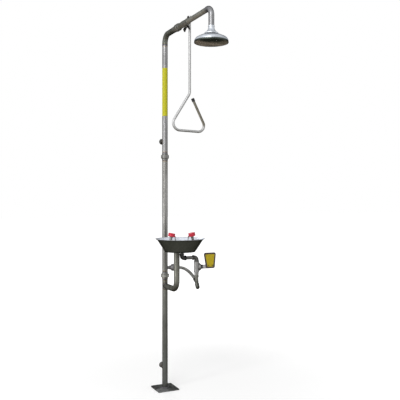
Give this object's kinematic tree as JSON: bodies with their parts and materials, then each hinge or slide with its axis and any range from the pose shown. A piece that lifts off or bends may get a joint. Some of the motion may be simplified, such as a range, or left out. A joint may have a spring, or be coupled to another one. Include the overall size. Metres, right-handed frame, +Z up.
{
  "type": "emergency safety shower",
  "caption": "Floor-standing emergency shower with a pull-rod valve and overhead rose, and a bowl eyewash with hinged dust caps and a push-flag valve.",
  "frame": {"origin": "centre of the floor plate's underside, on the post's axis", "axes": "+Z up along the post, -Y forward along the shower arm, +X towards the eyewash valve and its push flag"},
  "size_m": [0.4018, 0.8906, 2.49],
  "materials": {
    "brushed_stainless": "brushed, slightly weathered",
    "polished_stainless": "polished",
    "satin_stainless_bowl": "spun satin",
    "satin_stainless_plate": "satin",
    "white_seat_plastic": "smooth",
    "black_rubber": "matte",
    "red_plastic": "satin",
    "grey_plastic": "satin",
    "black_paint": "satin",
    "dark_border_paint": "satin",
    "yellow_vinyl": "satin"
  },
  "bodies": {
    "frame": {"arm_tube": "brushed_stainless", "arm_union_nut": "brushed_stainless", "base_plate": "brushed_stainless", "blanking_disc": "brushed_stainless", "bowl": "satin_stainless_bowl", "bowl_drain": "brushed_stainless", "bowl_locknuts": "brushed_stainless", "cap_hinges": "brushed_stainless", "cross_pipe": "brushed_stainless", "drain_tube": "brushed_stainless", "drop_elbow": "polished_stainless", "eyewash_bonnet": "brushed_stainless", "eyewash_seats": "white_seat_plastic", "eyewash_valve_body": "brushed_stainless", "head_dome": "polished_stainless", "head_neck": "polished_stainless", "inlet_socket": "brushed_stainless", "label_band": "yellow_vinyl", "lower_post": "brushed_stainless", "lower_union_nut": "brushed_stainless", "mid_post": "brushed_stainless", "riser_elbow": "brushed_stainless", "riser_tube": "brushed_stainless", "shower_gland_nut": "brushed_stainless", "shower_seats": "white_seat_plastic", "shower_valve_body": "brushed_stainless", "shower_valve_insert": "brushed_stainless", "spray_faces": "grey_plastic", "spray_heads": "grey_plastic", "spray_plate": "satin_stainless_plate", "spray_yoke": "brushed_stainless", "strainer_body": "brushed_stainless", "strainer_cap": "brushed_stainless", "strainer_screen": "brushed_stainless", "supply_nipple": "brushed_stainless", "supply_tube": "brushed_stainless", "supply_union": "brushed_stainless", "top_bend": "brushed_stainless", "union_ferrules": "brushed_stainless", "union_gaskets": "black_rubber", "union_tails": "brushed_stainless", "upper_post": "brushed_stainless", "upper_union_nut": "brushed_stainless", "valve_elbow": "brushed_stainless", "valve_nipple": "brushed_stainless", "waste_socket": "brushed_stainless"},
    "shower_lever": {"shower_ball": "brushed_stainless", "shower_stem": "brushed_stainless", "pull_lever": "black_paint", "lever_fasteners": "brushed_stainless"},
    "pull_rod": {"pull_rod": "brushed_stainless", "handle_end_cap": "black_rubber"},
    "eyewash_lever": {"eyewash_ball": "brushed_stainless", "eyewash_stem": "brushed_stainless", "push_bracket": "brushed_stainless", "push_flag": "dark_border_paint", "flag_face": "yellow_vinyl", "push_fasteners": "brushed_stainless"},
    "left_cap": {"dust_cap_left": "red_plastic"},
    "right_cap": {"dust_cap_right": "red_plastic"}
  },
  "joints": [
    {"name": "shower_lever_turn", "type": "hinge", "parent": "frame", "child": "shower_lever", "pos_m": [0.032, -0.297, 2.433], "axis": [1, 0, 0], "range_deg": [0, 90]},
    {"name": "pull_rod_swing", "type": "hinge", "parent": "shower_lever", "child": "pull_rod", "pos_m": [0.04265, -0.317, 2.48], "axis": [1, 0, 0], "range_deg": [-90, 0]},
    {"name": "eyewash_lever_turn", "type": "hinge", "parent": "frame", "child": "eyewash_lever", "pos_m": [0.1465, -0.288, 0.863], "axis": [-1, 0, 0], "range_deg": [0, 90]},
    {"name": "left_cap_flip", "type": "hinge", "parent": "frame", "child": "left_cap", "pos_m": [-0.0487, -0.288, 1.06508], "axis": [0, 1, 0], "range_deg": [0, 110]},
    {"name": "right_cap_flip", "type": "hinge", "parent": "frame", "child": "right_cap", "pos_m": [0.0487, -0.288, 1.06508], "axis": [0, -1, 0], "range_deg": [0, 110]}
  ],
  "couplings": [
    {"joint": "pull_rod_swing", "follows": "shower_lever_turn", "ratio": -1}
  ]
}
